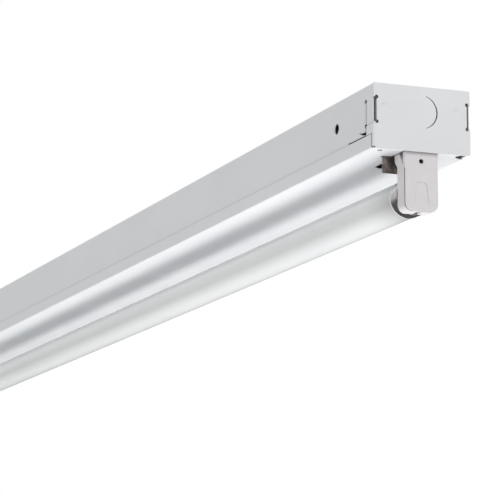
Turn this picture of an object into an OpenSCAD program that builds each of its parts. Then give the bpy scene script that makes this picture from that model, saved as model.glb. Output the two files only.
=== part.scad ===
// One-lamp fluorescent strip light for a ceiling.
// The origin is the centre of the ceiling face, X runs along the fixture and Z points up.
// Each end is drawn at +X and turned half round for the other end.

/* [Lamp] */
// Length of the lamp between its two base faces
lamp_l = 1199.4; // [560:0.1:1500]
// Outer diameter of the glass tube
glass_d = 25.2; // [22:0.1:26]
// Wall of the glass tube
glass_t = 0.8; // [0.6:0.05:1.2]
// Length of the metal cap on each end of the lamp
cap_l = 10.4; // [8:0.1:14]
// Wall of the metal cap
cap_t = 0.3; // [0.2:0.05:0.5]
// Spacing of the two pins
pin_pitch = 12.7; // [11:0.1:13]
// Diameter of a pin
pin_d = 2.35; // [2:0.05:2.6]
// Length of a pin outside the cap
pin_l = 7.1; // [6.4:0.1:7.6]
// Play between the lamp and each lampholder
lamp_play = 0.4; // [0.2:0.05:0.8]
// Drop from the underside of the cover to the axis of the lamp
lamp_drop = 27.1; // [26:0.1:34]

/* [Channel] */
// Width over the channel's sides
channel_w = 69; // [64:0.5:90]
// Height from the ceiling face to the underside of the cover
channel_h = 43.1; // [41:0.1:60]
// Thickness of the sheet steel
sheet = 0.6; // [0.5:0.05:0.9]
// Outer radius of the bends
bend_r = 1.1; // [1:0.1:2]
// Distance of the side holes from the end
side_hole_in = 59.3; // [50:0.1:80]
// Depth of the side holes below the ceiling face
side_hole_down = 18.4; // [14:0.1:22]
// Diameter of the side holes
side_hole_d = 7.1; // [5:0.1:9]
// Distance of the ceiling screw holes from the end
ceiling_hole_in = 100; // [80:1:140]
// Diameter of the ceiling screw holes
ceiling_hole_d = 6.4; // [4:0.1:8]
// Distance of the knockouts in the top from the middle
top_knockout_x = 150; // [140:1:170]

/* [Cover] */
// Height of the cover's side flanges
flange_h = 9.4; // [7:0.1:12]
// Gap between the sheet-metal pieces that slide together
sheet_gap = 0.05; // [0.02:0.01:0.2]
// Length of the latch slot in the channel's side
latch_l = 25.8; // [20:0.1:40]
// Length that each end of the side flanges is cut back
flange_cutback = 3.1; // [2.6:0.1:6]
// Diameter of the hole beside each lampholder
cover_hole_d = 3.8; // [3:0.1:5]
// Length of the open corner across the cover from each hole
open_corner_l = 12.5; // [9:0.1:13]
// Length of the opening behind each lampholder, from the end of the fixture
tongue_in = 58; // [45:0.5:70]
// Width of the opening behind each lampholder
tongue_w = 18.6; // [14:0.1:22]

/* [End plates] */
// Diameter of a knockout
knockout_d = 22.2; // [20:0.1:28]
// Width of the slit round a knockout in the channel's top
knockout_slit = 0.5; // [0.3:0.05:0.8]
// Widest gap of the crescent slit round half of the end knockout
knockout_gap = 0.8; // [0.5:0.05:1.2]
// Depth of the end knockout's centre below the ceiling face
knockout_down = 16.8; // [16:0.1:20]
// Top of the corner slots, below the ceiling face
slot_top = 9.4; // [8:0.1:11]
// Height of the corner slots
slot_h = 16.2; // [12:0.1:17]
// Width of the corner slots on the face of the end plate
slot_w = 2.3; // [2:0.1:3.6]
// Length of the outside ears along the channel
ear_l = 10.4; // [8:0.1:12]
// Distance of the lock slits from the end
lock_in = 12.4; // [12:0.1:16]

/* [Lampholder] */
// Width of the lampholder
holder_w = 23.6; // [23:0.1:26]
// Thickness of the lampholder along the lamp
holder_t = 11.9; // [11.4:0.1:14]
// Set-back of the lampholder from the end of the fixture
holder_back = 1.9; // [1.5:0.1:3]
// Radius of the lampholder's lower corners
holder_r = 5; // [3:0.1:7]
// Reach of the lampholder below the lamp's axis
holder_below = 11.9; // [11.2:0.1:14]
// Reach of the lampholder above the underside of the cover
holder_above = 18; // [14:0.1:20]
// Wall of the lampholder housing
holder_wall = 1.2; // [0.9:0.05:1.3]
// Thickness of the lampholder's outer panel
panel_t = 1.4; // [1.3:0.1:2]
// Reach of the lampholder's upper shoulder behind its lamp face
shoulder_t = 3.8; // [2:0.1:4.5]
// Radial running clearance of the rotor in its bore
rotor_fit = 0.08; // [0.02:0.01:0.1]
// Drop of the screw below the underside of the cover
screw_down = 6; // [5:0.1:8]

/* [Bracket] */
// Thickness of the bracket's steel
bracket_t = 0.8; // [0.6:0.05:1.2]
// Width of the bracket
bracket_w = 37; // [34:0.5:44]
// Distance of the bracket's rear leg from the end of the fixture
leg_in = 22; // [21:0.1:26]
// Reach of the rear leg below the underside of the cover
leg_down = 11.1; // [9:0.1:12]

/* [Ballast] */
// Length of the ballast over its mounting tabs
ballast_l = 241; // [180:1:250]
// Width of the ballast
ballast_w = 42.9; // [36:0.1:46]
// Height of the ballast
ballast_h = 30.2; // [24:0.1:32]
// Length of the mounting tab at each end of the ballast
tab_l = 9; // [8:0.1:12]
// Thickness of the ballast's base plate
base_t = 0.8; // [0.6:0.05:1.2]

/* [Leads] */
// Diameter of the insulated lead wires
wire_d = 2.2; // [1.6:0.1:2.4]

/* [Hidden] */
$fn = 48;

// Overshoot of every cut past the face it opens
cut = 1;

// Lengths along the fixture, all counted from its end plane inwards
holder_in = holder_back + holder_t;
lamp_in = holder_in + lamp_play;
channel_l = lamp_l + 2 * lamp_in;
plate_in = sheet + sheet_gap;
cover_in = plate_in + 0.3;

// Levels
under_z = -channel_h;
cover_top_z = under_z + sheet;
flange_z = under_z + flange_h;
axis_z = under_z - lamp_drop;
holder_top_z = under_z + holder_above;
holder_bottom_z = axis_z - holder_below;
screw_z = under_z - screw_down;

// Half widths
channel_y = channel_w / 2;
ear_y = channel_y + sheet_gap + sheet;
cover_w = channel_w + 2 * (sheet_gap + sheet);

// Gap between the foot of the channel's sides and the cover
foot_gap = 0.3;

// Corner slots of the end plate, with a round relief at each end
relief_y = channel_y - 2.1;
relief_r = 1.27;
relief_deep = 1.2;

// Lock: a tab of the end plate slants out through a slit in the channel's side
lock_slit = 3.6;
lock_relief_r = 1.9;
lock_top_z = -slot_top - 1.35;
lock_h = slot_h - 0.7;
lock_play = 0.75;
lock_hook = 0.4;
lock_turn = lock_in - 2.65;
side_notch_in = 1.3;

// Outside ears, narrow beside the cover and long above it
ear_z = -(slot_top + slot_h + 1.5);
ear_bend_r = 1.5;
ear_foot_l = 1.9;
ear_foot_lift = 1;
ear_overhang = 0.3;
corner_gap = 0.1;

// Latch slot above the cover's flange and the lanced window at its near end
latch_in = ear_l + 2.6;
latch_open = 1.15;
latch_behind = 2;
latch_relief_r = 1.3;
latch_relief_rise = 0.5;
window = [[0.3, 0.5], [0.3, 5.7], [2.3, 5.7], [3, 3.4], [7.8, 3.5],
    [13, 4.6], [8, 2.3], [3.6, 1.4], [3.2, 0.5]];

// Dents pressed into the end plate
dent_r = 4;
dent_out = 3.6;
dent_down = 13.9;
dent_left_y = -27.7;
dent_right_y = 24.4;

// Openings in the cover
notch_y = holder_w / 2 + 0.5;
leg_slot_y = bracket_w / 2 + 1;
leg_slot_front = 0.7;
leg_slot_rear = 1.2;
tongue_r = 6;
cover_hole_in = 6.9;
cover_hole_y = channel_y - 7.2;
open_corner = [[-cut, 5.5], [6, 7.9], [9, 6.9], [open_corner_l, 2.9],
    [open_corner_l, -1.5], [-cut, -1.5]];

// Lampholder
seam = 0.8;
seam_down = 11;
panel_inset = 0.1;
body_in = holder_back + panel_t;
pin_reach = (pin_pitch + pin_d) / 2;
rotor_r = pin_reach + 1.7;
rotor_lip = 0.6;
rotor_lip_t = 1;
rotor_t = 5.05;
rotor_seat = 0.05;
rotor_in = holder_in - rotor_seat - rotor_t;
cavity_r = rotor_r + rotor_lip + 0.25;
cavity_in = rotor_in + rotor_lip_t + 0.3;
cavity_top_z = axis_z + 15;
pin_slot = pin_d + 0.25;
entry_slot = pin_d + 0.9;
entry_in = lamp_in - pin_l - 1.2;
plug_t = 0.8;
plug_gap = 0.3;
shoulder_z = under_z - 4.9;
shoulder_slope = 4;
groove_deep = 3.5;
groove_front = 1.5;
groove_foot = 8.3;
boss_r = 4.4;
arch_deep = 0.7;
arch_top_z = axis_z + 7.6;
arch_r = 3;
arch_top_y = 3.9;
arch_foot_y = 5.7;
arch_foot = 2.2;

// Bracket, whose front leg is a fork that grips the lampholder's grooves
fork_in = 6.8;
fork_gap = 0.3;
fork_foot_z = under_z + sheet + 0.6;
bracket_bend_r = 2;
groove_y = holder_w / 2 - groove_deep;
lead_hole_r = 4.5;
lead_hole_y = 9;
lead_hole_z = -14;
pilot_y = 12.2;
pilot_r = 1;
pilot_deep = 0.55;

// Fasteners
screw_r = 1.75;
screw_hole_r = screw_r + 0.15;
screw_head_r = 2.9;
screw_head_t = 2.2;
screw_access_r = 1.6;
screw_head_in = body_in + 2.7;
screw_end = 0.5;
driver_slot = 0.8;
nut_t = 2.6;
nut_r = 3.4;

// Contacts
strip_t = 0.4;
strip_w = 3;
contact_y = pin_reach + 0.22;
contact_in = body_in + 1.2;
contact_top_z = cavity_top_z - 4;
contact_foot_z = axis_z - 4.5;

// Lamp
cap_fit = 0.05;
cap_r = glass_d / 2 + cap_fit + cap_t;
glass_gap = 0.1;
insulator_r = 9.2;
insulator_t = 1;
pin_root = 3;
stem_in = lamp_in + 9;
stem_r = 4;
stem_wall = 1;
stem_l = 24;
stem_solid = 6;
flare_t = 1.2;
filament_l = 9;
filament_r = 0.6;
support_r = 0.35;
support_l = 8;

// Ballast
can_l = ballast_l - 2 * tab_l;
can_wall = 0.7;
can_z = -sheet - base_t;
can_h = ballast_h - base_t;
base_notch_r = 6;
board_t = 1.6;
board_gap = 0.15;
board_z = can_z - 4;
part_z = board_z - board_t;
part_room = part_z - (can_z - can_h + can_wall);
part_pitch = (can_l - 40) / 5;
choke = [24, 22, part_room * 0.7];
choke_cheek = 6;
coil_r = part_room * 0.3;
tall_r = 6;
tall_y = 9;
film = [6, 12, part_room * 0.48];
transistor = [10, 4, part_room * 0.6];
bushing = [6, 14, 6];
bushing_rim = 1.5;
bushing_rim_t = 2;
bushing_z = can_z - can_h + 8;
tab_screw_r = 2;
tab_head_r = 3.6;
tab_head_t = 2;
ground_x = ballast_l / 2 + 64.5;
ground_y = 16.5 - channel_y;

// Leads, which leave the ballast and fall to the cover's inner face
wire_sides = 8;
wire_lie_z = cover_top_z + 0.3 + wire_d / 2;
wire_in_holder = 6;
holder_lead_in = 9.5;
holder_lead_y = 5;
holder_lead_x = channel_l / 2 - holder_lead_in;
lead_pitch = 6;
lead_start = can_l / 2 - 2;
lead_out = can_l / 2 + 4;
lead_fall = 10;
lead_rest = 22;
side_run_y = ballast_w / 2 + 5;
run_near = 60;
run_far = 150;
run_end = 190;
ground_step = 12;

module at_end(from, to) {
    translate([channel_l / 2 - to, 0, 0]) rotate([90, 0, 90]) linear_extrude(to - from) children();
}

module rod_in(from, to, y, z, r) {
    translate([channel_l / 2 - to, y, z]) rotate([0, 90, 0]) cylinder(h = to - from, r = r);
}

module box_in(from, to, y0, y1, z0, z1) {
    translate([channel_l / 2 - to, y0, z0]) cube([to - from, y1 - y0, z1 - z0]);
}

module half_turn() {
    rotate([0, 0, 180]) children();
}

module both_ends() {
    children();
    half_turn() children();
}

module both_sides() {
    children();
    mirror([0, 1, 0]) children();
}

// A flat shape in X and Z, extruded along Y between two values
module across(y0, y1) {
    translate([0, y1, 0]) rotate([90, 0, 0]) linear_extrude(y1 - y0) children();
}

// A bent U of sheet: outer width, leg length, thickness and outer bend radius, open below
module u_outline(w, leg, t, r) {
    difference() {
        rounded_u(w, leg, r);
        translate([0, -t]) rounded_u(w - 2 * t, leg - t + cut, r - t);
    }
}

module rounded_u(w, leg, r) {
    translate([-w / 2 + r, -leg]) square([w - 2 * r, leg]);
    translate([-w / 2, -leg]) square([w, leg - r]);
    for (side = [-1, 1]) translate([side * (w / 2 - r), -r]) circle(r);
}

// A ring slit that leaves the disc hanging on two bridges
module ring_slit(r, slit, bridge) {
    difference() {
        circle(r);
        circle(r - slit);
        translate([-r - cut, -bridge / 2]) square([2 * (r + cut), bridge]);
    }
}

// A slit that opens round the right half of the disc, which hangs on its left half
module crescent_slit(r, gap) {
    difference() {
        circle(r);
        translate([-gap, 0]) circle(r - sheet_gap);
        translate([-r, -r]) square([1.25 * r, 2 * r]);
    }
}

// Outline of the lampholder, square at the top and rounded below
module holder_outline(inset, top) {
    w = holder_w - 2 * inset;
    r = holder_r - inset;
    bottom = holder_bottom_z + inset;
    translate([-w / 2, bottom + r]) square([w, top - bottom - r]);
    translate([-w / 2 + r, bottom]) square([w - 2 * r, top - bottom]);
    for (side = [-1, 1]) translate([side * (w / 2 - r), bottom + r]) circle(r);
}

// Cuts in the side of the channel at +Y, near its end
module side_cut() {
    across(channel_y - sheet - cut, channel_y + cut) children();
}

module lock_slit_outline() {
    translate([channel_l / 2 - lock_in, lock_top_z - lock_h]) {
        translate([-lock_slit / 2, 0]) square([lock_slit, lock_h]);
        for (z = [0, lock_h]) translate([0, z]) circle(lock_relief_r);
    }
}

module latch_outline() {
    far = latch_in + latch_l;
    relief_z = flange_z + latch_open - latch_relief_r + latch_relief_rise;
    translate([channel_l / 2 - far, flange_z - latch_behind]) square([latch_l, latch_behind + latch_open]);
    translate([channel_l / 2 - far, relief_z]) circle(latch_relief_r);
    polygon([for (p = window) [channel_l / 2 - ear_l - p[0], flange_z + p[1]]]);
}

module channel_end_cuts() {
    both_sides() {
        side_cut() {
            lock_slit_outline();
            latch_outline();
            translate([channel_l / 2 - side_hole_in, -side_hole_down]) circle(d = side_hole_d);
            translate([channel_l / 2 - flange_cutback - corner_gap, under_z])
                square([flange_cutback + corner_gap, flange_h + corner_gap]);
        }
        box_in(0, side_notch_in, channel_y - bend_r - cut, channel_y + cut, -slot_top - slot_h, -slot_top);
    }
    translate([channel_l / 2 - ceiling_hole_in, 0, -sheet - cut])
        cylinder(h = sheet + 2 * cut, d = ceiling_hole_d);
}

module channel() {
    color("whitesmoke") difference() {
        at_end(plate_in, channel_l - plate_in)
            u_outline(channel_w, channel_h - sheet - foot_gap, sheet, bend_r);
        both_ends() channel_end_cuts();
        for (x = [-1, 1]) {
            translate([x * top_knockout_x, 0, -sheet - cut]) linear_extrude(sheet + 2 * cut)
                ring_slit(knockout_d / 2, knockout_slit, 3);
            translate([x * (ballast_l / 2 - tab_l / 2), 0, -sheet - cut])
                cylinder(h = sheet + 2 * cut, r = tab_screw_r + sheet_gap);
        }
        translate([ground_x, ground_y, -sheet - cut])
            cylinder(h = sheet + 2 * cut, r = tab_screw_r + sheet_gap);
    }
}

// Openings of the cover at one end, seen from above: lampholder, bracket leg and tongue
module cover_openings() {
    tongue_x = channel_l / 2 - tongue_in;
    leg_x = channel_l / 2 - leg_in - bracket_t - leg_slot_rear;
    translate([leg_x, -notch_y]) square([channel_l / 2 - leg_x + cut, 2 * notch_y]);
    translate([leg_x, -leg_slot_y])
        square([leg_slot_front + bracket_t + leg_slot_rear, 2 * leg_slot_y]);
    translate([tongue_x + tongue_r, -tongue_w / 2]) square([leg_x - tongue_x, tongue_w]);
    translate([tongue_x, tongue_r - tongue_w / 2]) square([leg_x - tongue_x, tongue_w - 2 * tongue_r]);
    for (side = [-1, 1])
        translate([tongue_x + tongue_r, side * (tongue_w / 2 - tongue_r)]) circle(tongue_r);
}

module cover_end_cuts() {
    translate([0, 0, under_z - cut]) linear_extrude(sheet + 2 * cut) cover_openings();
    both_sides() box_in(0, flange_cutback, channel_y - corner_gap, cover_w, under_z - cut, flange_z + cut);
}

// The round hole at -Y and the open corner at +Y
module cover_corner_cuts() {
    translate([0, 0, under_z - cut]) linear_extrude(sheet + 2 * cut) {
        translate([channel_l / 2 - cover_hole_in, -cover_hole_y]) circle(d = cover_hole_d);
        polygon([for (p = open_corner) [channel_l / 2 - p[0], channel_y - p[1]]]);
    }
    box_in(0, open_corner_l, channel_y - corner_gap, cover_w, under_z - cut, flange_z + cut);
}

module channel_cover() {
    color("white") difference() {
        at_end(cover_in, channel_l - cover_in) translate([0, under_z]) mirror([0, 1])
            u_outline(cover_w, flange_h, sheet, bend_r);
        both_ends() cover_end_cuts();
        cover_corner_cuts();
        mirror([1, 0, 0]) cover_corner_cuts();
    }
}

module end_plate_outline() {
    foot_z = under_z - ear_overhang;
    foot_y = ear_y - ear_bend_r;
    difference() {
        union() {
            translate([-channel_y, ear_z]) square([channel_w, -ear_z]);
            translate([-foot_y, foot_z]) square([2 * foot_y, ear_z - foot_z]);
        }
        for (side = [-1, 1])
            translate([side * channel_y - slot_w, -slot_top - slot_h]) square([2 * slot_w, slot_h]);
    }
}

// Lock tab: runs inside the channel's side and slants out through its slit
module lock_tab() {
    inner = channel_y - slot_w - sheet;
    tip = channel_y + lock_hook;
    rear = lock_turn + sheet * (sqrt(2) - 1);
    plan = [[0, inner], [rear, inner], [rear + tip - inner, tip], [lock_turn + tip - inner - sheet, tip],
        [lock_turn, inner + sheet], [0, inner + sheet]];
    translate([0, 0, lock_top_z - lock_h + lock_play]) linear_extrude(lock_h - 2 * lock_play)
        polygon([for (p = plan) [channel_l / 2 - p[0], p[1]]]);
}

// An ear bent back from the face of the end plate, seen from above
module ear_plan(l) {
    end = channel_l / 2;
    bend_y = ear_y - ear_bend_r;
    translate([end - l, ear_y - sheet]) square([l - ear_bend_r, sheet]);
    translate([end - sheet, bend_y - sheet]) square([sheet, sheet]);
    translate([end - ear_bend_r, bend_y]) intersection() {
        difference() {
            circle(ear_bend_r);
            circle(ear_bend_r - sheet);
        }
        square(ear_bend_r);
    }
}

module outside_ear() {
    ear_foot_z = flange_z + ear_overhang;
    translate([0, 0, ear_foot_z]) linear_extrude(ear_z - ear_foot_z) ear_plan(ear_l);
    translate([0, 0, under_z + ear_foot_lift]) linear_extrude(ear_foot_z - under_z - ear_foot_lift)
        ear_plan(ear_foot_l);
}

module end_plate() {
    color("gainsboro") difference() {
        union() {
            at_end(0, sheet) end_plate_outline();
            both_sides() {
                lock_tab();
                outside_ear();
            }
            box_in(0, fork_in - 1, 6 - channel_y, channel_y - 6, -plate_in - sheet, -plate_in);
        }
        at_end(-cut, sheet + cut) translate([0, -knockout_down])
            crescent_slit(knockout_d / 2, knockout_gap);
        for (side = [-1, 1], z = [-slot_top, -slot_top - slot_h])
            rod_in(-cut, relief_deep, side * relief_y, z, relief_r);
        for (y = [dent_left_y, dent_right_y])
            translate([channel_l / 2 + dent_out, y, -dent_down]) sphere(r = dent_r);
    }
}

module lampholder_bracket() {
    depth = leg_in + bracket_t - fork_in;
    leg_h = leg_down + channel_h;
    color("rosybrown") difference() {
        translate([channel_l / 2 - fork_in - depth / 2, bracket_w / 2, -sheet])
            rotate([90, 0, 0]) linear_extrude(bracket_w) difference() {
                u_outline(depth, leg_h - sheet, bracket_t, bracket_bend_r);
                translate([0, -leg_h]) square([depth, leg_h + fork_foot_z + sheet]);
            }
        box_in(0, fork_in + bracket_t + cut, -groove_y - fork_gap, groove_y + fork_gap,
            under_z, holder_top_z + fork_gap);
        rod_in(leg_in - cut, leg_in + bracket_t + cut, 0, screw_z, screw_hole_r);
        rod_in(leg_in - cut, leg_in + bracket_t + cut, lead_hole_y, lead_hole_z, lead_hole_r);
        for (side = [-1, 1])
            rod_in(leg_in - cut, leg_in + pilot_deep, side * pilot_y, screw_z, pilot_r);
    }
}

// The shoulder carries the screw boss and slopes back to the lamp face below the cover
module shoulder_outline() {
    x = channel_l / 2 - holder_in;
    polygon([[x + cut, holder_top_z], [x - shoulder_t, holder_top_z], [x - shoulder_t, shoulder_z],
        [x, shoulder_z - shoulder_slope], [x + cut, shoulder_z - shoulder_slope]]);
}

// Groove for the bracket's fork, which flares into a latch ramp below the cover
module side_groove() {
    front = channel_l / 2 - fork_in + groove_front;
    rear = channel_l / 2 - fork_in - bracket_t - fork_gap;
    polygon([[front, holder_top_z + cut], [rear, holder_top_z + cut], [rear, under_z + 4],
        [rear - 3.4, under_z + 1], [front, under_z - groove_foot]]);
}

module lampholder_body() {
    head_gap = screw_head_r + 0.2;
    color("white") difference() {
        union() {
            at_end(body_in, holder_in) holder_outline(0, holder_top_z);
            across(-holder_w / 2, holder_w / 2) shoulder_outline();
            rod_in(holder_in - cut, leg_in, 0, screw_z, boss_r);
        }
        at_end(body_in - cut, cavity_in) intersection() {
            holder_outline(holder_wall, cavity_top_z);
            translate([-cavity_r, holder_bottom_z]) square([2 * cavity_r, cavity_top_z - holder_bottom_z]);
        }
        rod_in(body_in, holder_in + cut, 0, axis_z, rotor_r + rotor_fit);
        box_in(entry_in, holder_in + cut, -entry_slot / 2, entry_slot / 2, holder_bottom_z - cut, axis_z);
        both_sides() across(holder_w / 2 - groove_deep, holder_w / 2 + cut) side_groove();
        box_in(body_in - cut, screw_head_in + screw_head_t, -head_gap, head_gap,
            cavity_top_z - cut, screw_z + head_gap);
        rod_in(body_in, leg_in + cut, 0, screw_z, screw_hole_r);
        translate([holder_lead_x, holder_lead_y, cavity_top_z - cut])
            cylinder(h = holder_top_z - cavity_top_z + 2 * cut, r = wire_d / 2 + 0.25);
    }
}

module lampholder_back() {
    seam_z = under_z - seam_down;
    plug_y = cavity_r - 0.2;
    color("snow") difference() {
        union() {
            at_end(holder_back, body_in - seam) holder_outline(panel_inset, holder_top_z);
            at_end(holder_back, body_in) intersection() {
                holder_outline(0, holder_top_z);
                translate([-holder_w, seam_z]) square([2 * holder_w, holder_top_z - seam_z]);
            }
            at_end(body_in - seam, body_in + plug_t) intersection() {
                holder_outline(holder_wall + plug_gap, cavity_top_z - 0.2);
                translate([-plug_y, holder_bottom_z]) square([2 * plug_y, cavity_top_z - holder_bottom_z]);
            }
        }
        at_end(holder_back - cut, holder_back + arch_deep) arch_outline();
        rod_in(0, body_in + cut, 0, screw_z, screw_access_r);
    }
}

// Shallow arch sunk into the outer panel, over the rotor
module arch_outline() {
    shoulder = arch_top_z - arch_r;
    foot = holder_bottom_z + arch_foot;
    polygon([[-arch_foot_y, foot], [arch_foot_y, foot], [arch_top_y, shoulder], [-arch_top_y, shoulder]]);
    for (side = [-1, 1]) translate([side * (arch_top_y - arch_r), shoulder]) circle(arch_r);
    translate([arch_r - arch_top_y, shoulder]) square([2 * (arch_top_y - arch_r), arch_r]);
}

module lampholder_screw() {
    color("silver") difference() {
        union() {
            rod_in(screw_head_in, screw_head_in + screw_head_t, 0, screw_z, screw_head_r);
            rod_in(screw_head_in, leg_in + bracket_t + nut_t + screw_end, 0, screw_z, screw_r);
        }
        box_in(screw_head_in - cut, screw_head_in + 1, -2, 2, screw_z - driver_slot / 2,
            screw_z + driver_slot / 2);
    }
}

module lampholder_nut() {
    color("silver") difference() {
        translate([channel_l / 2 - leg_in - bracket_t - nut_t, 0, screw_z])
            rotate([0, 90, 0]) cylinder(h = nut_t, r = nut_r, $fn = 6);
        rod_in(leg_in, leg_in + bracket_t + nut_t + cut, 0, screw_z, screw_r + sheet_gap);
    }
}

module rotor() {
    color("ivory") difference() {
        union() {
            rod_in(rotor_in, holder_in - rotor_seat, 0, axis_z, rotor_r);
            rod_in(rotor_in, rotor_in + rotor_lip_t, 0, axis_z, rotor_r + rotor_lip);
        }
        box_in(rotor_in - cut, holder_in, -rotor_r - cut, rotor_r + cut,
            axis_z - pin_slot / 2, axis_z + pin_slot / 2);
    }
}

// One brass strip bridges both pins and rests against the housing's walls
module contacts() {
    bridge_y = cavity_r - 0.1;
    color("goldenrod") {
        both_sides() box_in(contact_in, rotor_in - 0.4, contact_y, contact_y + strip_t,
            contact_foot_z, contact_top_z);
        box_in(contact_in, contact_in + strip_w, -bridge_y, bridge_y, contact_top_z, contact_top_z + strip_t);
    }
}

module glass_tube() {
    end = lamp_in + cap_t + glass_gap;
    color("white") difference() {
        rod_in(end, channel_l - end, 0, axis_z, glass_d / 2);
        rod_in(0, channel_l, 0, axis_z, glass_d / 2 - glass_t);
    }
}

module lamp_cap() {
    color("dimgray") difference() {
        rod_in(lamp_in, lamp_in + cap_l, 0, axis_z, cap_r);
        rod_in(lamp_in + cap_t, lamp_in + cap_l + cut, 0, axis_z, cap_r - cap_t);
        rod_in(lamp_in - cut, lamp_in + cap_l, 0, axis_z, insulator_r);
    }
}

module cap_insulator() {
    color("tan") difference() {
        union() {
            rod_in(lamp_in + 0.1, lamp_in + insulator_t, 0, axis_z, insulator_r - sheet_gap);
            rod_in(lamp_in + cap_t, lamp_in + insulator_t, 0, axis_z, insulator_r + 1);
        }
        for (side = [-1, 1])
            rod_in(lamp_in - cut, lamp_in + insulator_t + cut, side * pin_pitch / 2, axis_z, pin_d / 2);
    }
}

module lamp_pins() {
    tip = lamp_in - pin_l + pin_d / 2;
    color("gold") for (side = [-1, 1]) {
        rod_in(tip, lamp_in + pin_root, side * pin_pitch / 2, axis_z, pin_d / 2);
        translate([channel_l / 2 - tip, side * pin_pitch / 2, axis_z]) sphere(d = pin_d);
    }
}

// Flare that closes the tube and carries the filament's supports
module glass_stem() {
    color("lightcyan") difference() {
        union() {
            rod_in(stem_in, stem_in + flare_t, 0, axis_z, glass_d / 2 - glass_t - sheet_gap);
            rod_in(stem_in, stem_in + stem_l, 0, axis_z, stem_r);
        }
        rod_in(stem_in - cut, stem_in + stem_l - stem_solid, 0, axis_z, stem_r - stem_wall);
    }
}

module cathode() {
    root = stem_in + stem_l;
    tip = root + support_l;
    post_y = stem_r - stem_wall;
    color("slategray") {
        for (side = [-1, 1]) {
            rod_in(root, tip, side * post_y, axis_z, support_r);
            translate([channel_l / 2 - tip, side * post_y, axis_z]) sphere(support_r * 1.6);
        }
        translate([channel_l / 2 - tip, -filament_l / 2, axis_z]) rotate([-90, 0, 0])
            cylinder(h = filament_l, r = filament_r);
    }
}

module ballast_base() {
    color("lightgray") translate([-ballast_l / 2, -ballast_w / 2, can_z]) difference() {
        cube([ballast_l, ballast_w, base_t]);
        for (x = [0, ballast_l]) {
            translate([abs(x - tab_l / 2), ballast_w / 2, -cut])
                cylinder(h = base_t + 2 * cut, r = tab_screw_r + 0.2);
            for (y = [0, ballast_w])
                translate([x, y, -cut]) cylinder(h = base_t + 2 * cut, r = base_notch_r);
        }
    }
}

module ballast_case() {
    hole_y = bushing[1] + 2 * sheet_gap;
    hole_z = bushing[2] + 2 * sheet_gap;
    color("dimgray") difference() {
        translate([-can_l / 2, -ballast_w / 2, can_z - can_h]) cube([can_l, ballast_w, can_h]);
        translate([can_wall - can_l / 2, can_wall - ballast_w / 2, can_z - can_h + can_wall])
            cube([can_l - 2 * can_wall, ballast_w - 2 * can_wall, can_h]);
        translate([-can_l / 2 - cut, -hole_y / 2, bushing_z - hole_z / 2])
            cube([can_l + 2 * cut, hole_y, hole_z]);
    }
}

module ballast_board() {
    l = can_l - 2 * can_wall - 2 * board_gap;
    w = ballast_w - 2 * can_wall - 2 * board_gap;
    color("seagreen") translate([-l / 2, -w / 2, part_z]) cube([l, w, board_t]);
}

// Wound cores: two cheeks with a coil between them
module ballast_chokes() {
    color("saddlebrown") for (x = [-part_pitch, part_pitch]) translate([x, 0, part_z]) {
        for (end = [-choke[0] / 2, choke[0] / 2 - choke_cheek])
            translate([end, -choke[1] / 2, -choke[2]]) cube([choke_cheek, choke[1], choke[2]]);
        translate([-choke[0] / 2 + 1, 0, -choke[2] / 2]) rotate([0, 90, 0])
            cylinder(h = choke[0] - 2, r = coil_r);
    }
}

module ballast_capacitors() {
    tall_h = part_room * 0.78;
    color("darkslateblue") {
        for (y = [-tall_y, tall_y]) translate([0, y, part_z - tall_h]) cylinder(h = tall_h, r = tall_r);
        for (i = [-1:1])
            translate([2 * part_pitch + i * 1.5 * film[0] - film[0] / 2, -film[1] / 2, part_z - film[2]])
                cube(film);
    }
}

module ballast_transistors() {
    color("black") for (i = [-1, 1])
        translate([-2 * part_pitch + i * 0.6 * transistor[0] - transistor[0] / 2, transistor[1],
            part_z - transistor[2]]) cube(transistor);
}

module ballast_lead_bushings() {
    rim = 2 * bushing_rim;
    color("ivory") for (s = [-1, 1]) translate([s * can_l / 2, 0, bushing_z]) difference() {
        union() {
            cube(bushing, center = true);
            translate([s * (bushing_rim_t / 2 + sheet_gap), 0, 0])
                cube([bushing_rim_t, bushing[1] + rim, bushing[2] + rim], center = true);
        }
        for (y = [-lead_pitch / 2, lead_pitch / 2])
            translate([-bushing[0], y, 0]) rotate([0, 90, 0])
                cylinder(h = 2 * bushing[0], r = wire_d / 2 + 0.15);
    }
}

module pan_screw(x, y, seat_z, shank) {
    translate([x, y, seat_z - tab_head_t]) cylinder(h = tab_head_t, r = tab_head_r);
    translate([x, y, seat_z - tab_head_t]) cylinder(h = tab_head_t + shank, r = tab_screw_r);
}

module ballast_screws() {
    color("silver") for (s = [-1, 1])
        pan_screw(s * (ballast_l - tab_l) / 2, 0, can_z, base_t + sheet - sheet_gap);
}

module ground_screw() {
    color("green") pan_screw(ground_x, ground_y, -sheet, sheet - sheet_gap);
}

// A round wire swept along its points, with a ring of wire_sides corners at each point
function unit(v) = v / norm(v);
function tangent(p, i) = unit(p[min(i + 1, len(p) - 1)] - p[max(i - 1, 0)]);
function ring(c, t) =
    let (u = unit(cross(t, [0.35, 0.8, 0.5])), v = cross(t, u))
    [for (k = [0:wire_sides - 1])
        c + wire_d / 2 * (cos(k * 360 / wire_sides) * u + sin(k * 360 / wire_sides) * v)];

module wire(p) {
    n = len(p);
    points = [for (i = [0:n - 1]) each ring(p[i], tangent(p, i))];
    sides = [for (i = [0:n - 2], k = [0:wire_sides - 1], half = [0, 1])
        let (a = i * wire_sides + k, b = i * wire_sides + (k + 1) % wire_sides)
        half == 0 ? [a, b, b + wire_sides] : [a, b + wire_sides, a + wire_sides]];
    first = [for (k = [1:wire_sides - 2]) [0, k + 1, k]];
    base = (n - 1) * wire_sides;
    last = [for (k = [1:wire_sides - 2]) [base, base + k, base + k + 1]];
    polyhedron(points, concat(sides, first, last));
}

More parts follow.
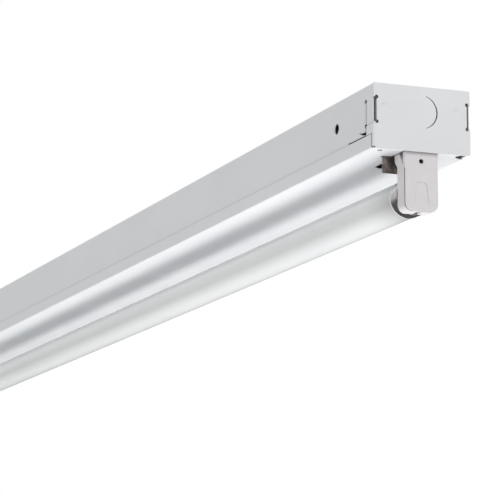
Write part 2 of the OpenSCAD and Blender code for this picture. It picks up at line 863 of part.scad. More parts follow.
// First points of a lead, from its bushing down to the cover
function lead_root(y, fall_y, rest_y) = [
    [lead_start, y, bushing_z], [lead_out, y, bushing_z],
    [lead_out + lead_fall, fall_y, wire_lie_z + 6], [lead_out + lead_rest, rest_y, wire_lie_z]
];

// Route from the cover up over the bracket's leg and down into the lampholder
lampholder_rise = [
    [channel_l / 2 - 70, lead_hole_y + 4, wire_lie_z],
    [channel_l / 2 - 46, lead_hole_y + 3, wire_lie_z + 5],
    [channel_l / 2 - 34, lead_hole_y, lead_hole_z - 4],
    [channel_l / 2 - leg_in - 5, lead_hole_y, lead_hole_z],
    [channel_l / 2 - leg_in + 4, lead_hole_y - 1, lead_hole_z + 1],
    [holder_lead_x - 3, holder_lead_y + 1, lead_hole_z - 1],
    [holder_lead_x, holder_lead_y, lead_hole_z - 5],
    [holder_lead_x, holder_lead_y, holder_top_z - wire_in_holder]
];

module wire_black() {
    color("black") wire(concat(lead_root(-lead_pitch / 2, -6, -9), [
        [lead_out + run_near, -12, wire_lie_z], [lead_out + run_far + 10, -14, wire_lie_z],
        [lead_out + run_end + 10, -10, wire_lie_z]
    ]));
}

module wire_white() {
    color("white") wire(concat(lead_root(lead_pitch / 2, 5, 4), [
        [lead_out + run_near, 2, wire_lie_z], [lead_out + run_far, -2, wire_lie_z],
        [lead_out + run_end, 3, wire_lie_z]
    ]));
}

module wire_green() {
    color("green") wire([
        [ground_x + tab_head_r + 1.3, ground_y, -sheet - 1.3],
        [ground_x + 1.2 * ground_step, ground_y - 1, -ground_step / 2],
        [ground_x + 2.2 * ground_step, ground_y - 3, -1.8 * ground_step],
        [ground_x + 3 * ground_step, ground_y - 4, wire_lie_z + 5],
        [ground_x + 4 * ground_step, ground_y - 5, wire_lie_z],
        [ground_x + run_far, ground_y - 6, wire_lie_z]
    ]);
}

module wire_red() {
    color("red") half_turn()
        wire(concat(lead_root(-lead_pitch / 2, -2, 0), [[lead_out + 2 * run_near, 8, wire_lie_z]],
            lampholder_rise));
}

// Leaves with the red wire and runs back beside the ballast to the other end
module wire_blue() {
    color("blue") wire(concat([
        [-lead_start, -lead_pitch / 2, bushing_z], [-lead_out, -lead_pitch / 2, bushing_z],
        [-lead_out - 8, 0, wire_lie_z + 5], [-lead_out - 14, 10, wire_lie_z],
        [-lead_out - 8, 20, wire_lie_z], [-lead_out + 4, side_run_y, wire_lie_z],
        [lead_out, side_run_y, wire_lie_z], [lead_out + run_near, side_run_y - 4, wire_lie_z],
        [lead_out + 2 * run_near, 18, wire_lie_z]
    ], lampholder_rise));
}

channel();
channel_cover();
end_plate();  // end_plate_near
half_turn() end_plate();  // end_plate_far
lampholder_bracket();  // lampholder_bracket_near
half_turn() lampholder_bracket();  // lampholder_bracket_far
lampholder_body();  // lampholder_body_near
half_turn() lampholder_body();  // lampholder_body_far
lampholder_back();  // lampholder_back_near
half_turn() lampholder_back();  // lampholder_back_far
lampholder_screw();  // lampholder_screw_near
half_turn() lampholder_screw();  // lampholder_screw_far
lampholder_nut();  // lampholder_nut_near
half_turn() lampholder_nut();  // lampholder_nut_far
rotor();  // rotor_near
half_turn() rotor();  // rotor_far
contacts();  // contacts_near
half_turn() contacts();  // contacts_far
glass_tube();
lamp_cap();  // lamp_cap_near
half_turn() lamp_cap();  // lamp_cap_far
cap_insulator();  // cap_insulator_near
half_turn() cap_insulator();  // cap_insulator_far
lamp_pins();  // lamp_pins_near
half_turn() lamp_pins();  // lamp_pins_far
glass_stem();  // glass_stem_near
half_turn() glass_stem();  // glass_stem_far
cathode();  // cathode_near
half_turn() cathode();  // cathode_far
ballast_base();
ballast_case();
ballast_board();
ballast_chokes();
ballast_capacitors();
ballast_transistors();
ballast_lead_bushings();
ballast_screws();
wire_black();
wire_white();
wire_blue();
wire_red();
wire_green();
ground_screw();
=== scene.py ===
"""The looks of a one-lamp fluorescent strip light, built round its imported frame.

Lengths are in metres. X runs along the fixture, Z points up, and the ceiling face is at z = 0.
"""
import math

import bmesh
import bpy
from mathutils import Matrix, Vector


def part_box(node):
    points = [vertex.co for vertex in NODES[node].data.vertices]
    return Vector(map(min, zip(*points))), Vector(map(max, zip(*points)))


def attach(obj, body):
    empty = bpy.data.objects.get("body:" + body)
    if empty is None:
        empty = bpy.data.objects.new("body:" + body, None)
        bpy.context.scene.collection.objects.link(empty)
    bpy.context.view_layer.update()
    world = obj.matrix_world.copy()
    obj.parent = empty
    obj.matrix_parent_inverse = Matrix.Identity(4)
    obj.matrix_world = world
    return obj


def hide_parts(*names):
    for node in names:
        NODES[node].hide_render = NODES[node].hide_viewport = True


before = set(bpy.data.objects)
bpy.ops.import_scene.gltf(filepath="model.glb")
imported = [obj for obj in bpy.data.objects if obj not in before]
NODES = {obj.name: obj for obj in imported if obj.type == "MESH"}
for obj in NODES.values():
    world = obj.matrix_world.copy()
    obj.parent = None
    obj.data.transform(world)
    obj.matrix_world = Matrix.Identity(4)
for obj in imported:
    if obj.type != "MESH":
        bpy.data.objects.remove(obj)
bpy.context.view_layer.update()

MM = 0.001
END_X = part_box("end_plate_near")[1].x
ENDS = (("near", 1), ("far", -1))

# The lamp's caps: bore, wall, shoulder radius, and the last stretch that is pressed on to the glass
CAP_LOW, CAP_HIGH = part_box("lamp_cap_near")
CAP_FACE = CAP_HIGH.x
CAP_EDGE = CAP_LOW.x
CAP_RADIUS = (CAP_HIGH.y - CAP_LOW.y) / 2
AXIS_Z = (CAP_HIGH.z + CAP_LOW.z) / 2
CAP_BORE = 9.2 * MM
CAP_WALL = 0.3 * MM
CAP_CORNER = 0.9 * MM
CAP_CORNER_STEPS = 8
CAP_TAPER = 2.6 * MM
CAP_TAPER_STEPS = 10
CAP_LIP = 0.07 * MM
CAP_SIDES = 96
CAP_SHARP_TURN = math.radians(40)

# A pale matt ring along each cap's rim as a painted highlight, and the greyed stretch of the tube beside
# it
RIM_GLINT_WIDTH = 1.5 * MM
RIM_GLINT_BLUR = 0.9 * MM
RIM_GLINT_TONE = (0.76, 0.77, 0.77)
GREY_REACH = 51 * MM
GREY_END = (0.53, 0.535, 0.53)

# The lampholders' outer panels: the eased slope round the sunk arch, and the rounded outer edge
ARCH_DEEP = 0.7 * MM
ARCH_SLOPE = 0.5 * MM
ARCH_RINGS = 8
ARCH_FADE = 4.5 * MM
ARCH_PIECE = 1.2 * MM
ARCH_HALF_WIDTH = 6.5 * MM
LEAST_CORNER = 0.6
PANEL_EDGE = 0.4 * MM
PANEL_EDGE_STEPS = 3

# Vertices this close are one, and faces that turn less than this are flat
SAME_PLACE = 0.002 * MM
FLAT_TURN = 0.01
LEAD_FLAT_TURN = 0.001
LEAD_LEVELS = 2

# Painted shade in crevices, darkest where other surfaces stand close: its reach, the openness from full
# shade to none on mouldings and on sheet, and its tone on sheet
CREVICE_SHADE_REACH = 2 * MM
CREVICE_SHADE_EDGES = (0.35, 0.85)
SHEET_SHADE_EDGES = (0.4, 1)
SHEET_SHADE_TONE = (0.30, 0.29, 0.30)

# Edges rounded on the frame's own nodes: width in millimetres, and how outer corners are met
EASED = {
    "lampholder_body_": (0.12, "MITER_ARC"),
    "lampholder_bracket_": (0.08, "MITER_SHARP"),
    "lampholder_screw_": (0.2, "MITER_SHARP"),
    "lampholder_nut_": (0.1, "MITER_SHARP"),
    "rotor_": (0.2, "MITER_SHARP"),
    "contacts_": (0.08, "MITER_SHARP"),
    "cap_insulator_": (0.15, "MITER_SHARP"),
    "ballast_case": (0.2, "MITER_SHARP"),
    "ballast_base": (0.12, "MITER_SHARP"),
    "ballast_board": (0.1, "MITER_SHARP"),
    "ballast_chokes": (0.1, "MITER_SHARP"),
    "ballast_capacitors": (0.5, "MITER_SHARP"),
    "ballast_transistors": (0.3, "MITER_SHARP"),
    "ballast_screws": (0.3, "MITER_SHARP"),
    "channel_cover": (0.05, "MITER_SHARP"),
}
EASED_TURN = 0.6
EASED_STEPS = 2
SMOOTH_TURN = math.radians(35)

# The camera stands below the near end and looks up along the fixture; its angles are in degrees
IMAGE_WIDTH = 500
FOCAL_PIXELS = 2533.66
SENSOR = 36
CAMERA_CLIP = (0.05, 200)
CAMERA_FROM_END = Vector((1.4453, -0.6966, -0.4035))
CAMERA_TURN = 68.26
CAMERA_RISE = 10.51

# The white surroundings: their level as a light, and the dark floor that shiny surfaces mirror
WORLD_LEVEL = 0.58
MIRRORED_LEVEL = 0.72
DARK_SIDE = (0, 0, -1)
DARK_LEVEL = 0.12
DARK_EDGES = (-0.1, 0.06)
FLOOR_Z = -2.4
FLOOR_REACH = 30
FLOOR_TONE = (0.86, 0.86, 0.86, 1)
FLOOR_ROUGHNESS = 0.9

# Softboxes: place, point aimed at, size, power, and whether shiny surfaces mirror them
SOFTBOXES = {
    "below_near": ((0.8, 0.46, -1.85), (0.8, 0, -0.05), (1.0, 1.0), 18, False),
    "below_far": ((-0.4, 0.30, -1.85), (-0.4, 0, -0.05), (1.4, 1.0), 12, False),
    "over": ((2.4, 0.35, 1.75), (0.6, 0, -0.03), (0.7, 0.7), 18, True),
    "front": ((3.2, 0.6, -0.5), (0.6, 0, -0.03), (1.6, 1.6), 3, True),
    "left": ((0.6, -1.7, -1.7), (0.2, 0, -0.05), (3.0, 1.6), 12, True),
    "top": ((0, 0.3, 2.5), (0, 0, 0), (2.0, 3.0), 10, True),
}

FINISH_ENDING = "_finish"


def add_object(name, data):
    thing = bpy.data.objects.new(name, data)
    bpy.context.scene.collection.objects.link(thing)
    return thing


def look_along(thing, direction):
    thing.rotation_mode = "QUATERNION"
    thing.rotation_quaternion = direction.to_track_quat("-Z", "Y")


def make_camera():
    data = bpy.data.cameras.new("camera")
    data.sensor_width = SENSOR
    data.lens = FOCAL_PIXELS / IMAGE_WIDTH * SENSOR
    data.clip_start, data.clip_end = CAMERA_CLIP
    camera = add_object("camera", data)
    turn = math.radians(CAMERA_TURN)
    rise = math.radians(CAMERA_RISE)
    look_along(camera, Vector((-math.sin(turn) * math.cos(rise),
                               math.cos(turn) * math.cos(rise),
                               math.sin(rise))))
    camera.location = Vector((END_X, 0, 0)) + CAMERA_FROM_END
    bpy.context.scene.camera = camera


def make_world():
    """White for the camera, dimmer as a light, and dark from below where surfaces mirror it."""
    world = bpy.data.worlds.new("studio")
    bpy.context.scene.world = world
    world.use_nodes = True
    tree = world.node_tree
    tree.nodes.clear()
    path = tree.nodes.new("ShaderNodeLightPath")
    direction = tree.nodes.new("ShaderNodeTexCoord")
    toward = tree.nodes.new("ShaderNodeVectorMath")
    toward.operation = "DOT_PRODUCT"
    toward.inputs[1].default_value = DARK_SIDE
    tree.links.new(direction.outputs["Generated"], toward.inputs[0])
    mirrored = spread(tree, toward.outputs["Value"], MIRRORED_LEVEL, DARK_LEVEL, DARK_EDGES)
    shiny = tree.nodes.new("ShaderNodeMix")
    shiny.inputs["A"].default_value = WORLD_LEVEL
    tree.links.new(path.outputs["Is Glossy Ray"], shiny.inputs["Factor"])
    tree.links.new(mirrored, shiny.inputs["B"])
    seen = maths(tree, "MAXIMUM", path.outputs["Is Camera Ray"], path.outputs["Is Transmission Ray"])
    level = tree.nodes.new("ShaderNodeMix")
    level.inputs["B"].default_value = 1
    tree.links.new(seen, level.inputs["Factor"])
    tree.links.new(shiny.outputs["Result"], level.inputs["A"])
    sky = tree.nodes.new("ShaderNodeBackground")
    sky.inputs["Color"].default_value = (1, 1, 1, 1)
    tree.links.new(level.outputs["Result"], sky.inputs["Strength"])
    out = tree.nodes.new("ShaderNodeOutputWorld")
    tree.links.new(sky.outputs[0], out.inputs["Surface"])


def softbox(name, place, aim, size, power, mirrored):
    """A rectangular lamp that the camera doesn't see."""
    data = bpy.data.lights.new(name, "AREA")
    data.shape = "RECTANGLE"
    data.size, data.size_y = size
    data.energy = power
    lamp = add_object(name, data)
    lamp.location = place
    look_along(lamp, Vector(aim) - Vector(place))
    lamp.visible_camera = False
    lamp.visible_glossy = mirrored


def make_floor():
    """A floor for views from above, which lets the view from below through, as for a ceiling light."""
    data = bpy.data.meshes.new("floor")
    corners = [(x * FLOOR_REACH, y * FLOOR_REACH, FLOOR_Z)
               for x, y in ((-1, -1), (1, -1), (1, 1), (-1, 1))]
    data.from_pydata(corners, [], [(0, 1, 2, 3)])
    floor = add_object("floor", data)
    paint = bpy.data.materials.new("floor")
    paint.use_nodes = True
    tree = paint.node_tree
    shader = tree.nodes["Principled BSDF"]
    shader.inputs["Base Color"].default_value = FLOOR_TONE
    shader.inputs["Roughness"].default_value = FLOOR_ROUGHNESS
    clear = tree.nodes.new("ShaderNodeBsdfTransparent")
    side = tree.nodes.new("ShaderNodeNewGeometry")
    mix = tree.nodes.new("ShaderNodeMixShader")
    tree.links.new(side.outputs["Backfacing"], mix.inputs["Fac"])
    tree.links.new(shader.outputs[0], mix.inputs[1])
    tree.links.new(clear.outputs[0], mix.inputs[2])
    tree.links.new(mix.outputs[0], tree.nodes["Material Output"].inputs["Surface"])
    floor.data.materials.append(paint)
    floor.visible_glossy = False


def grain(tree, scale, detail=3.0, stretch=(1, 1, 1)):
    """Noise in the piece's own coordinates, with scale cells to the metre."""
    place = tree.nodes.new("ShaderNodeTexCoord")
    mapping = tree.nodes.new("ShaderNodeMapping")
    mapping.inputs["Scale"].default_value = stretch
    noise = tree.nodes.new("ShaderNodeTexNoise")
    noise.inputs["Scale"].default_value = scale
    noise.inputs["Detail"].default_value = detail
    tree.links.new(place.outputs["Object"], mapping.inputs["Vector"])
    tree.links.new(mapping.outputs[0], noise.inputs["Vector"])
    return noise.outputs["Fac"]


def cells(tree, scale):
    """Flat-toned crystals of irregular shape, with scale of them to the metre."""
    place = tree.nodes.new("ShaderNodeTexCoord")
    crystals = tree.nodes.new("ShaderNodeTexVoronoi")
    crystals.inputs["Scale"].default_value = scale
    tree.links.new(place.outputs["Object"], crystals.inputs["Vector"])
    split = tree.nodes.new("ShaderNodeSeparateColor")
    tree.links.new(crystals.outputs["Color"], split.inputs[0])
    return split.outputs[0]


def from_middle(tree):
    """The distance along the fixture from its middle."""
    place = tree.nodes.new("ShaderNodeTexCoord")
    along = tree.nodes.new("ShaderNodeSeparateXYZ")
    tree.links.new(place.outputs["Object"], along.inputs[0])
    return maths(tree, "ABSOLUTE", along.outputs["X"])


def spread(tree, value, low, high, edges=(0.3, 0.7)):
    """From low to high as the value goes from the first edge to the second."""
    ranged = tree.nodes.new("ShaderNodeMapRange")
    ranged.inputs["From Min"].default_value = edges[0]
    ranged.inputs["From Max"].default_value = edges[1]
    ranged.inputs["To Min"].default_value = low
    ranged.inputs["To Max"].default_value = high
    tree.links.new(value, ranged.inputs["Value"])
    return ranged.outputs["Result"]


def blend(tree, factor, first, second):
    """The first colour at factor 0 and the second at 1, each a tuple or another node's socket."""
    mix = tree.nodes.new("ShaderNodeMix")
    mix.data_type = "RGBA"
    for socket, colour in (("A", first), ("B", second)):
        if isinstance(colour, tuple):
            mix.inputs[socket].default_value = (*colour, 1)
        else:
            tree.links.new(colour, mix.inputs[socket])
    tree.links.new(factor, mix.inputs["Factor"])
    return mix.outputs["Result"]


def maths(tree, operation, first, second=None):
    node = tree.nodes.new("ShaderNodeMath")
    node.operation = operation
    tree.links.new(first, node.inputs[0])
    if second:
        tree.links.new(second, node.inputs[1])
    return node.outputs[0]


def relief(tree, height, depth, under=None):
    bump = tree.nodes.new("ShaderNodeBump")
    bump.inputs["Strength"].default_value = 1
    bump.inputs["Distance"].default_value = depth
    tree.links.new(height, bump.inputs["Height"])
    if under:
        tree.links.new(under, bump.inputs["Normal"])
    return bump.outputs["Normal"]


def shaded_in_crevices(tree, colour, crevice_shade, edges):
    """The colour darkened by painted shade wherever other surfaces stand within the crevice reach."""
    crevice = tree.nodes.new("ShaderNodeAmbientOcclusion")
    crevice.inputs["Distance"].default_value = CREVICE_SHADE_REACH
    unshaded = spread(tree, crevice.outputs["AO"], 0, 1, edges)
    return blend(tree, unshaded, crevice_shade, colour)


def shader_of(name, **sockets):
    material = bpy.data.materials.new(name)
    material.use_nodes = True
    shader = material.node_tree.nodes["Principled BSDF"]
    for socket, value in sockets.items():
        shader.inputs[socket.replace("_", " ")].default_value = value
    return material, material.node_tree, shader


def dress(tree, shader, colour, roughness, normal):
    """Feeds a shader's colour, roughness and surface relief."""
    tree.links.new(colour, shader.inputs["Base Color"])
    tree.links.new(roughness, shader.inputs["Roughness"])
    tree.links.new(normal, shader.inputs["Normal"])


def enamel(name):
    """Baked white enamel on sheet steel: faint orange peel over a slightly wavy sheet, with painted
    shade in its crevices.
    """
    material, tree, shader = shader_of(name, IOR=1.48)
    tone = spread(tree, grain(tree, scale=14, detail=2), 0, 1)
    colour = blend(tree, tone, (0.785, 0.80, 0.82), (0.815, 0.83, 0.845))
    roughness = spread(tree, grain(tree, scale=60), 0.34, 0.42)
    sheet = relief(tree, grain(tree, scale=9, detail=1, stretch=(0.4, 1, 1)), 0.5 * MM)
    peel = relief(tree, grain(tree, scale=700, detail=2), 0.006 * MM, sheet)
    # the enamel's colour darkened by painted shade in its crevices
    dress(tree, shader, shaded_in_crevices(tree, colour, SHEET_SHADE_TONE, SHEET_SHADE_EDGES), roughness, peel)
    return material


def moulded(name, first, second, roughness=0.45, crevice_shade=None):
    """Moulded plastic with a fine spark-eroded texture, and painted shade in its crevices, as dark as
    the given shade tone, when one is given.
    """
    material, tree, shader = shader_of(name, IOR=1.5)
    colour = blend(tree, spread(tree, grain(tree, scale=120, detail=4), 0, 1), first, second)
    if crevice_shade:
        colour = shaded_in_crevices(tree, colour, crevice_shade, CREVICE_SHADE_EDGES)
    gloss = spread(tree, grain(tree, scale=300), roughness - 0.05, roughness + 0.06)
    dress(tree, shader, colour, gloss, relief(tree, grain(tree, scale=3000, detail=2), 0.008 * MM))
    return material


def metal(name, first, second, roughness, share=1.0, scale=250, stretch=(1, 1, 1)):
    """Bare or plated metal, with tone and gloss that vary along its grain."""
    material, tree, shader = shader_of(name, Metallic=share)
    tone = spread(tree, grain(tree, scale, 4, stretch), 0, 1)
    gloss = spread(tree, grain(tree, scale * 2, 3, stretch), roughness - 0.08, roughness + 0.1)
    marks = relief(tree, grain(tree, scale * 4, 3, stretch), 0.01 * MM)
    dress(tree, shader, blend(tree, tone, first, second), gloss, marks)
    return material


def glint_rimmed(material):
    """The cap's metal, with a pale matt ring along the rim beside the glass as a painted highlight."""
    tree = material.node_tree
    shader = tree.nodes["Principled BSDF"]
    edges = (CAP_EDGE + RIM_GLINT_WIDTH, CAP_EDGE + RIM_GLINT_WIDTH + RIM_GLINT_BLUR)
    metal_share = spread(tree, from_middle(tree), 0, 1, edges)
    bare = shader.inputs["Base Color"].links[0].from_socket
    tree.links.new(blend(tree, metal_share, RIM_GLINT_TONE, bare), shader.inputs["Base Color"])
    tree.links.new(metal_share, shader.inputs["Metallic"])
    return material


def spangled(name, first, second, roughness, scale, share=1.0):
    """Galvanised sheet with zinc crystals."""
    material, tree, shader = shader_of(name, Metallic=share)
    crystals = cells(tree, scale)
    stain = spread(tree, grain(tree, scale * 0.6, 4), 0, 1)
    tone = maths(tree, "MULTIPLY", crystals, stain)
    gloss = spread(tree, crystals, roughness - 0.1, roughness + 0.12, (0, 1))
    marks = relief(tree, grain(tree, scale * 5, 3), 0.01 * MM)
    dress(tree, shader, blend(tree, tone, first, second), gloss, marks)
    return material


def lamp_glass(name):
    """Glass tube with white powder on the inside, which greys towards both caps."""
    material, tree, shader = shader_of(name, IOR=1.5)
    tone = spread(tree, grain(tree, scale=40, detail=5, stretch=(0.25, 1, 1)), 0, 1)
    powder = blend(tree, tone, (0.80, 0.82, 0.82), (0.83, 0.845, 0.845))
    near_cap = spread(tree, from_middle(tree), 0, 1, (CAP_EDGE - GREY_REACH, CAP_EDGE))
    colour = blend(tree, maths(tree, "MULTIPLY", near_cap, near_cap), powder, GREY_END)
    gloss = spread(tree, grain(tree, scale=90, detail=2), 0.10, 0.16)
    ripple = relief(tree, grain(tree, scale=20, detail=1, stretch=(0.3, 1, 1)), 0.05 * MM)
    dress(tree, shader, colour, gloss, ripple)
    return material


def clear_glass(name):
    material, tree, shader = shader_of(name, IOR=1.5, Transmission_Weight=1.0)
    tone = spread(tree, grain(tree, scale=80), 0, 1)
    tree.links.new(blend(tree, tone, (0.9, 0.94, 0.93), (0.96, 0.98, 0.97)), shader.inputs["Base Color"])
    tree.links.new(spread(tree, grain(tree, scale=150), 0.02, 0.06), shader.inputs["Roughness"])
    return material


def bridge(mesh, ring, following):
    """Quads between two closed rings of equally many vertices."""
    for low in range(len(ring)):
        high = (low + 1) % len(ring)
        mesh.faces.new((ring[low], ring[high], following[high], following[low]))


def smooth_piece(name, mesh, sharp_turn=None):
    """An object made from the mesh, smooth apart from the edges that turn more than sharp_turn."""
    data = bpy.data.meshes.new(name)
    mesh.to_mesh(data)
    mesh.free()
    data.shade_smooth()
    if sharp_turn:
        data.set_sharp_from_angle(angle=sharp_turn)
    return add_object(name, data)


def even_shading(thing):
    even = thing.modifiers.new("even", "WEIGHTED_NORMAL")
    even.keep_sharp = True


def revolve(name, profile, flip):
    """Turns a closed outline of places along the lamp and radii round the lamp's axis."""
    mesh = bmesh.new()
    rings = []
    for step in range(CAP_SIDES):
        turn = math.tau * step / CAP_SIDES
        rings.append([mesh.verts.new((flip * x, r * math.sin(turn), AXIS_Z + r * math.cos(turn)))
                      for x, r in profile])
    for ring, following in zip(rings, rings[1:] + rings[:1]):
        bridge(mesh, ring, following)
    bmesh.ops.recalc_face_normals(mesh, faces=mesh.faces)
    return smooth_piece(name, mesh, CAP_SHARP_TURN)


def cap_profile():
    """A drawn metal cap: round shoulder, straight skirt, and a rim pressed down on to the glass."""
    skirt = CAP_RADIUS - CAP_WALL
    rim_drop = CAP_WALL - CAP_LIP
    points = [(CAP_FACE, CAP_BORE)]
    for step in range(CAP_CORNER_STEPS + 1):
        turn = math.radians(90 * step / CAP_CORNER_STEPS)
        points.append((CAP_FACE - CAP_CORNER * (1 - math.cos(turn)),
                       CAP_RADIUS - CAP_CORNER * (1 - math.sin(turn))))
    for step in range(CAP_TAPER_STEPS + 1):
        share = step / CAP_TAPER_STEPS
        points.append((CAP_EDGE + CAP_TAPER * (1 - share), CAP_RADIUS - rim_drop * share ** 2))
    points += [(CAP_EDGE, skirt), (CAP_FACE - CAP_WALL, skirt), (CAP_FACE - CAP_WALL, CAP_BORE)]
    return points


def make_caps():
    for end, flip in ENDS:
        cap = revolve("drawn_cap_" + end, cap_profile(), flip)
        cap.data.materials.append(frame_finish("cap_metal"))
        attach(cap, "lamp")
        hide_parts("lamp_cap_" + end)


def welded(node):
    """The node's mesh to edit, with its doubled vertices merged."""
    mesh = bmesh.new()
    mesh.from_mesh(node.data)
    bmesh.ops.remove_doubles(mesh, verts=mesh.verts, dist=SAME_PLACE)
    return mesh


def open_edges(mesh):
    return [edge for edge in mesh.edges if len(edge.link_faces) == 1]


def walk_loop(edges):
    """The vertices of one closed chain of edges, in order."""
    first = edges[0].verts[0]
    loop = [first]
    edge = edges[0]
    vert = edge.other_vert(first)
    while vert is not first:
        loop.append(vert)
        edge = next(e for e in vert.link_edges if e in edges and e is not edge)
        vert = edge.other_vert(vert)
    return loop


def outward(places):
    """For each place (y, z) round a closed outline, the way out of it, longer at corners."""
    middle = sum(places, Vector((0, 0))) / len(places)
    ways = []
    for before, here, after in zip(places[-1:] + places, places, places[1:] + places[:1]):
        sides = []
        for start, end in ((before, here), (here, after)):
            along = (end - start).normalized()
            sides.append(Vector((along.y, -along.x)))
        way = (sides[0] + sides[1]).normalized()
        way /= max(LEAST_CORNER, way.dot(sides[0]))
        ways.append(way)
    if sum(way.dot(here - middle) for way, here in zip(ways, places)) < 0:
        ways = [-way for way in ways]
    return ways


def in_pieces(places):
    """The same outline, with its long sides cut into short lengths, but not its level foot."""
    cut = []
    for start, end in zip(places, places[1:] + places[:1]):
        side = end - start
        count = math.ceil(side.length / ARCH_PIECE) if abs(side.y) > SAME_PLACE else 1
        cut += [start + side * step / count for step in range(count)]
    return cut


def eased(share):
    """From 0 to 1 as the share does, but level at both ends."""
    share = min(max(share, 0), 1)
    return share ** 2 * (3 - 2 * share)


def make_holder_back(end, flip):
    """The lampholder's outer panel, as in the frame but with a rounded edge and a sloping arch."""
    node = NODES["lampholder_back_" + end]
    mesh = welded(node)
    bmesh.ops.dissolve_limit(mesh, angle_limit=FLAT_TURN, verts=mesh.verts, edges=mesh.edges)
    outer = max(flip * vert.co.x for vert in mesh.verts)

    def lies_at(vert, x):
        return abs(flip * vert.co.x - x) < SAME_PLACE

    floor = [vert for vert in mesh.verts
             if lies_at(vert, outer - ARCH_DEEP) and abs(vert.co.y) < ARCH_HALF_WIDTH]
    bmesh.ops.delete(mesh, geom=floor, context="VERTS")
    rim = walk_loop(open_edges(mesh))
    places = in_pieces([Vector((vert.co.y, vert.co.z)) for vert in rim])
    foot = min(place.y for place in places)
    front = [face for face in mesh.faces if all(lies_at(vert, outer) for vert in face.verts)]
    bmesh.ops.delete(mesh, geom=front, context="FACES")
    ways = outward(places)
    rings = []
    for step in range(ARCH_RINGS + 1):
        share = step / ARCH_RINGS
        shift = ARCH_SLOPE * (0.5 - share)
        depths = [ARCH_DEEP * eased(share) * eased((place.y - foot) / ARCH_FADE) for place in places]
        rings.append([mesh.verts.new((flip * (outer - depth), *(place + way * shift)))
                      for depth, place, way in zip(depths, places, ways)])
    for ring, deeper in zip(rings, rings[1:]):
        bridge(mesh, ring, deeper)
    left, right = (sorted((vert for vert in rings[-1] if side * vert.co.y > 0),
                          key=lambda vert: vert.co.z)
                   for side in (-1, 1))
    for low in range(len(left) - 1):
        mesh.faces.new((left[low], right[low], right[low + 1], left[low + 1]))
    bmesh.ops.triangle_fill(mesh, use_beauty=True, edges=open_edges(mesh), normal=(flip, 0, 0))
    bmesh.ops.recalc_face_normals(mesh, faces=mesh.faces)
    corners = [edge for edge in mesh.edges
               if all(lies_at(vert, outer) for vert in edge.verts)
               and edge.calc_face_angle(0) > EASED_TURN]
    bmesh.ops.bevel(mesh, geom=corners, offset=PANEL_EDGE, segments=PANEL_EDGE_STEPS, profile=0.5,
                    affect="EDGES", clamp_overlap=True)
    piece = smooth_piece("soft_back_" + end, mesh, SMOOTH_TURN)
    even_shading(piece)
    piece.data.materials.append(frame_finish("holder_plastic"))
    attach(piece, "root")
    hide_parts(node.name)


def make_lead(name, slot):
    """A wire of the frame, rounded from its ring of flat sides and few bends."""
    mesh = welded(NODES[name])
    bmesh.ops.join_triangles(mesh, faces=mesh.faces, angle_face_threshold=math.pi,
                             angle_shape_threshold=math.pi)
    bmesh.ops.dissolve_limit(mesh, angle_limit=LEAD_FLAT_TURN, verts=mesh.verts, edges=mesh.edges)
    piece = smooth_piece("round_" + name, mesh)
    tube = piece.modifiers.new("tube", "SUBSURF")
    tube.levels = tube.render_levels = LEAD_LEVELS
    piece.data.materials.append(frame_finish(slot))
    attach(piece, "root")
    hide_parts(name)


def smooth_group():
    """A node group that shades smooth across every edge turning less than SMOOTH_TURN."""
    group = bpy.data.node_groups.new("smooth_by_angle", "GeometryNodeTree")
    group.interface.new_socket("Geometry", in_out="INPUT", socket_type="NodeSocketGeometry")
    group.interface.new_socket("Geometry", in_out="OUTPUT", socket_type="NodeSocketGeometry")
    enter = group.nodes.new("NodeGroupInput")
    leave = group.nodes.new("NodeGroupOutput")
    faces = group.nodes.new("GeometryNodeSetShadeSmooth")
    faces.domain = "FACE"
    edges = group.nodes.new("GeometryNodeSetShadeSmooth")
    edges.domain = "EDGE"
    edges.inputs["Shade Smooth"].default_value = False
    turn = group.nodes.new("GeometryNodeInputMeshEdgeAngle")
    sharp = group.nodes.new("FunctionNodeCompare")
    sharp.operation = "GREATER_THAN"
    sharp.inputs["B"].default_value = SMOOTH_TURN
    group.links.new(turn.outputs["Unsigned Angle"], sharp.inputs["A"])
    group.links.new(sharp.outputs["Result"], edges.inputs["Selection"])
    group.links.new(enter.outputs[0], faces.inputs["Geometry"])
    group.links.new(faces.outputs[0], edges.inputs["Geometry"])
    group.links.new(edges.outputs[0], leave.inputs[0])
    return group


def ease_edges():
    """Rounds the sharp edges of the frame's mouldings and fittings, and shades every node smooth."""
    group = smooth_group()
    for name, node in NODES.items():
        weld = node.modifiers.new("weld", "WELD")
        weld.merge_threshold = SAME_PLACE
        rounding = next((spec for start, spec in EASED.items() if name.startswith(start)), None)
        if rounding:
            width, corner = rounding
            flat = node.modifiers.new("flat", "DECIMATE")
            flat.decimate_type = "DISSOLVE"
            flat.angle_limit = FLAT_TURN
            bevel = node.modifiers.new("bevel", "BEVEL")
            bevel.width = width * MM
            bevel.segments = EASED_STEPS
            bevel.limit_method = "ANGLE"
            bevel.angle_limit = EASED_TURN
            bevel.use_clamp_overlap = False
            bevel.miter_outer = corner
        smooth = node.modifiers.new("smooth", "NODES")
        smooth.node_group = group
        if rounding:
            even_shading(node)


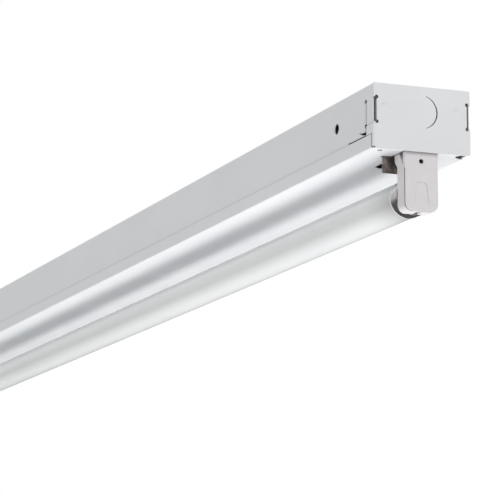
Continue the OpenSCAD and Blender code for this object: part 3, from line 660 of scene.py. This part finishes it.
# Each of the record's material slots, and how its finish is made
FINISHES = {
    "white_enamel": enamel,
    "bare_steel": lambda n: spangled(n, (0.16, 0.135, 0.12), (0.66, 0.58, 0.52), 0.45, 330, 0.8),
    "zinc": lambda n: metal(n, (0.52, 0.52, 0.51), (0.66, 0.66, 0.65), 0.38),
    # the lampholder's moulding darkened by painted shade in its crevices
    "holder_plastic": lambda n: moulded(n, (0.745, 0.715, 0.735), (0.775, 0.745, 0.765),
                                        crevice_shade=(0.10, 0.09, 0.095)),
    "rotor_plastic": lambda n: moulded(n, (0.70, 0.68, 0.62), (0.74, 0.72, 0.66)),
    "brass": lambda n: metal(n, (0.56, 0.38, 0.14), (0.68, 0.48, 0.2), 0.3, scale=300,
                             stretch=(0.2, 1, 1)),
    "lamp_glass": lamp_glass,
    "clear_glass": clear_glass,
    # the cap's metal, with a painted highlight as a pale ring along its rim
    "cap_metal": lambda n: glint_rimmed(metal(n, (0.54, 0.54, 0.55), (0.61, 0.61, 0.62), 0.24, scale=110,
                                             stretch=(3, 1, 1))),
    "insulator": lambda n: moulded(n, (0.30, 0.17, 0.08), (0.36, 0.21, 0.10), 0.5),
    "filament_metal": lambda n: metal(n, (0.20, 0.20, 0.22), (0.32, 0.32, 0.34), 0.45),
    "galvanised": lambda n: spangled(n, (0.30, 0.31, 0.32), (0.50, 0.51, 0.53), 0.4, 140),
    "board": lambda n: moulded(n, (0.03, 0.14, 0.06), (0.05, 0.19, 0.08), 0.4),
    "core": lambda n: moulded(n, (0.05, 0.045, 0.04), (0.11, 0.09, 0.07), 0.6),
    "capacitor_sleeve": lambda n: moulded(n, (0.03, 0.05, 0.14), (0.05, 0.08, 0.20), 0.35),
    "black_plastic": lambda n: moulded(n, (0.015, 0.015, 0.017), (0.03, 0.03, 0.033), 0.4),
    "insulation_black": lambda n: moulded(n, (0.012, 0.012, 0.014), (0.025, 0.025, 0.028), 0.35),
    "insulation_white": lambda n: moulded(n, (0.72, 0.72, 0.70), (0.78, 0.78, 0.76), 0.35),
    "insulation_blue": lambda n: moulded(n, (0.02, 0.07, 0.36), (0.03, 0.10, 0.44), 0.35),
    "insulation_red": lambda n: moulded(n, (0.42, 0.02, 0.02), (0.52, 0.03, 0.03), 0.35),
    "insulation_green": lambda n: moulded(n, (0.02, 0.24, 0.06), (0.03, 0.31, 0.09), 0.35),
    "green_zinc": lambda n: metal(n, (0.04, 0.22, 0.08), (0.08, 0.32, 0.13), 0.35, 0.7),
}
MADE = {}


def frame_finish(name):
    """The finish of that name, made the first time it is asked for."""
    if name not in MADE:
        MADE[name] = FINISHES[name](name + FINISH_ENDING)
    return MADE[name]


def dress_nodes():
    """Gives each node's material slots the finish that the record names there."""
    for node in NODES.values():
        for slot in node.material_slots:
            slot.material = frame_finish(slot.material.name.split(".")[0])


make_camera()
make_world()
make_floor()
for name, settings in SOFTBOXES.items():
    softbox(name, *settings)
dress_nodes()
ease_edges()
make_caps()
for end, flip in ENDS:
    make_holder_back(end, flip)
for name, node in NODES.items():
    if name.startswith("wire_"):
        make_lead(name, node.material_slots[0].material.name.replace(FINISH_ENDING, ""))

bpy.context.scene.view_settings.view_transform = "Standard"
